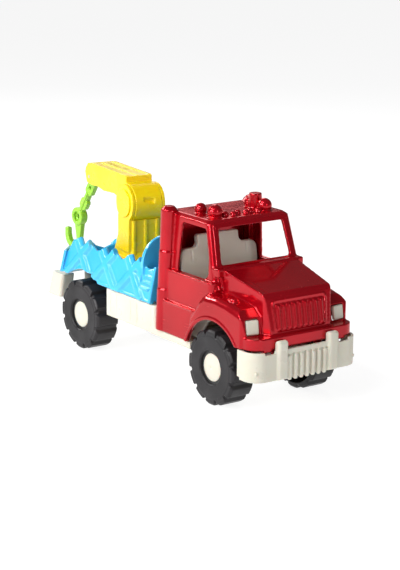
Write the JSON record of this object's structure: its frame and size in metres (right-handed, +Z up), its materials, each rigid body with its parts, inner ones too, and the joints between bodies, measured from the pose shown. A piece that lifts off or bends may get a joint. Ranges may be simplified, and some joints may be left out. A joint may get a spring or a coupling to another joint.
{
  "type": "toy tow truck",
  "caption": "Large moulded toy tow truck with a hollow cab, an open bed, free-rolling chunky wheels and a swivelling, folding crane with a hanging hook.",
  "frame": {"origin": "on the ground, in the middle of the overall length and midway between the wheels", "axes": "+X forward, +Y to the truck's left, +Z up"},
  "size_m": [0.4782, 0.1396, 0.203],
  "materials": {
    "ivory_plastic": "satin moulded",
    "red_plastic": "gloss moulded",
    "blue_plastic": "gloss moulded",
    "yellow_plastic": "satin moulded",
    "green_plastic": "satin moulded",
    "black_tyre": "satin moulded",
    "black_plastic": "satin moulded",
    "steel": "bright"
  },
  "bodies": {
    "truck": {"chassis": "ivory_plastic", "cab_shell": "red_plastic", "seat": "ivory_plastic", "headlight_left": "ivory_plastic", "headlight_right": "ivory_plastic", "bed": "blue_plastic", "bed_screws": "steel", "cab_screws": "steel"},
    "front_wheels": {"axle_front": "steel", "tyre_front_left": "black_tyre", "wheel_core_front_left": "black_plastic", "hubcap_front_left": "ivory_plastic", "tyre_front_right": "black_tyre", "wheel_core_front_right": "black_plastic", "hubcap_front_right": "ivory_plastic"},
    "rear_wheels": {"axle_rear": "steel", "tyre_rear_left": "black_tyre", "wheel_core_rear_left": "black_plastic", "hubcap_rear_left": "ivory_plastic", "tyre_rear_right": "black_tyre", "wheel_core_rear_right": "black_plastic", "hubcap_rear_right": "ivory_plastic"},
    "crane": {"crane_column": "yellow_plastic", "swivel_retainer": "yellow_plastic", "swivel_screw": "steel", "boom_pin": "steel", "boom_cap_left": "yellow_plastic", "boom_cap_right": "yellow_plastic"},
    "boom": {"crane_boom": "yellow_plastic", "hook_pin": "steel"},
    "hook": {"tow_hook": "green_plastic"}
  },
  "joints": [
    {"name": "front_axle_spin", "type": "hinge", "parent": "truck", "child": "front_wheels", "pos_m": [0.16208, 0, 0.04], "axis": [0, 1, 0], "continuous": true},
    {"name": "rear_axle_spin", "type": "hinge", "parent": "truck", "child": "rear_wheels", "pos_m": [-0.09392, 0, 0.04], "axis": [0, 1, 0], "continuous": true},
    {"name": "crane_swivel", "type": "hinge", "parent": "truck", "child": "crane", "pos_m": [-0.06892, 0, 0.1], "axis": [0, 0, 1], "range_deg": [-113, 127]},
    {"name": "boom_hinge", "type": "hinge", "parent": "crane", "child": "boom", "pos_m": [-0.0709, 0.00024, 0.168], "axis": [0.1219, 0.9925, 0], "range_deg": [-5, 45]},
    {"name": "hook_swing", "type": "hinge", "parent": "boom", "child": "hook", "pos_m": [-0.17486, 0.00696, 0.181], "axis": [-0.0523, 0.9986, 0], "range_deg": [-18, 45]}
  ]
}
